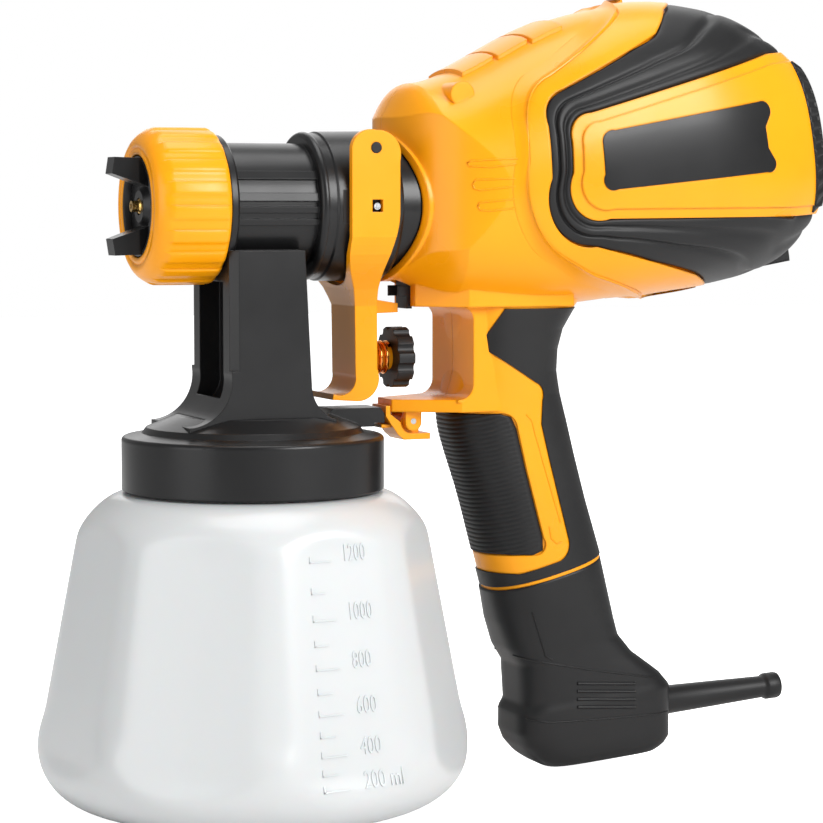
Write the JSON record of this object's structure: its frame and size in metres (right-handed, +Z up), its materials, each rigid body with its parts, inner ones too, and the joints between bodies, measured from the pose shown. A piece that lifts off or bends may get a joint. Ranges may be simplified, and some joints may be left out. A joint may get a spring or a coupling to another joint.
{
  "type": "handheld paint sprayer",
  "caption": "Handheld electric paint spray gun with a screw-on paint container, sprung trigger, turning air cap, twist-off motor housing and foot with a cord inlet.",
  "frame": {"origin": "centre of the container's flat base, on the surface it stands on", "axes": "+Z up along the container's axis, +X from the nozzle back to the motor, -Y the gun's left side"},
  "size_m": [0.288, 0.1498, 0.2805],
  "materials": {
    "container": "translucent milky plastic",
    "head_plastic": "smooth black moulding",
    "clear_tube": "milky tube",
    "black_plastic": "fine-grained black moulding",
    "yellow_plastic": "smooth moulded plastic",
    "soft_grip": "soft black overmould",
    "grey_plastic": "satin grey moulding",
    "brass": "turned",
    "steel": "machined",
    "spring_steel": "drawn wire",
    "copper_wire": "drawn, copper coloured",
    "seal_rubber": "moulded",
    "copper_core": "laminated core",
    "filter_foam": "open foam",
    "badge": "smooth, bare"
  },
  "bodies": {
    "container": {"paint_container": "container"},
    "spray_head": {"spray_head_body": "head_plastic", "container_lid": "head_plastic", "lid_gasket": "seal_rubber", "suction_tube": "clear_tube", "suction_strainer": "black_plastic", "head_o_ring": "seal_rubber", "fluid_tube": "brass", "needle_packing": "seal_rubber", "fluid_nozzle": "brass", "nozzle_disc": "grey_plastic", "trigger_pivot_pins": "steel", "spring_cap": "black_plastic", "needle_spring": "spring_steel"},
    "nozzle_nut": {"nozzle_nut": "yellow_plastic", "nozzle_gasket": "seal_rubber"},
    "air_cap": {"air_cap": "black_plastic"},
    "trigger": {"trigger": "yellow_plastic", "adjuster_spring": "copper_wire"},
    "flow_knob": {"flow_knob": "black_plastic"},
    "needle": {"needle": "steel", "needle_cross_pin": "steel"},
    "housing": {"housing_left": "yellow_plastic", "housing_right": "yellow_plastic", "side_band_left": "soft_grip", "side_band_right": "soft_grip", "badge_plate_left": "badge", "badge_plate_right": "badge", "front_grip": "soft_grip", "rear_grip": "soft_grip", "motor_can": "steel", "front_motor_mount": "seal_rubber", "rear_motor_mount": "seal_rubber", "front_bearing": "steel", "rear_bearing": "steel", "switch_body": "black_plastic", "latch_pin": "steel", "foot_cover": "black_plastic", "foot_pad": "seal_rubber", "strain_relief_boot": "soft_grip", "cable_clamp": "black_plastic"},
    "switch_button": {"switch_button": "black_plastic"},
    "latch_lever": {"latch_lever": "yellow_plastic"},
    "rotor": {"rotor": "copper_core", "fan_impeller": "grey_plastic"},
    "rear_cover": {"rear_cover": "black_plastic", "air_filter": "filter_foam"}
  },
  "joints": [
    {"name": "gun_lift", "type": "slide", "parent": "container", "child": "spray_head", "axis": [0, 0, 1], "range_m": [0, 0.13]},
    {"name": "nut_turn", "type": "hinge", "parent": "spray_head", "child": "nozzle_nut", "pos_m": [-0.0285, 0, 0.2065], "axis": [1, 0, 0], "continuous": true},
    {"name": "air_cap_turn", "type": "hinge", "parent": "spray_head", "child": "air_cap", "pos_m": [-0.0385, 0, 0.2065], "axis": [1, 0, 0], "range_deg": [0, 90]},
    {"name": "trigger_pull", "type": "hinge", "parent": "spray_head", "child": "trigger", "pos_m": [0.035, 0, 0.2264], "axis": [0, -1, 0], "range_deg": [0, 10], "stiffness_Nm_per_rad": 2, "springref_deg": -5.73},
    {"name": "knob_turn", "type": "hinge", "parent": "trigger", "child": "flow_knob", "pos_m": [0.0536, 0, 0.1534], "axis": [1, 0, 0], "continuous": true},
    {"name": "needle_draw", "type": "slide", "parent": "spray_head", "child": "needle", "axis": [1, 0, 0], "range_m": [0, 0.0035], "deforming": ["needle_spring"]},
    {"name": "head_twist", "type": "hinge", "parent": "spray_head", "child": "housing", "pos_m": [0.055, 0, 0.2065], "axis": [1, 0, 0], "range_deg": [-26, 0]},
    {"name": "switch_press", "type": "slide", "parent": "housing", "child": "switch_button", "axis": [1, 0, 0], "range_m": [0, 0.0101]},
    {"name": "latch_press", "type": "hinge", "parent": "housing", "child": "latch_lever", "pos_m": [0.057, 0, 0.131], "axis": [0, -1, 0], "range_deg": [0, 4], "stiffness_Nm_per_rad": 0.5, "springref_deg": -5.73},
    {"name": "fan_spin", "type": "hinge", "parent": "housing", "child": "rotor", "pos_m": [0.05, 0, 0.2065], "axis": [0.9877, 0, 0.1564], "continuous": true},
    {"name": "cover_pull", "type": "slide", "parent": "housing", "child": "rear_cover", "axis": [0.9877, 0, 0.1564], "range_m": [0, 0.03]}
  ],
  "couplings": [
    {"joint": "needle_draw", "follows": "trigger_pull", "m_per_rad": 0.0199},
    {"joint": "switch_press", "follows": "trigger_pull", "m_per_rad": 0.0575}
  ]
}
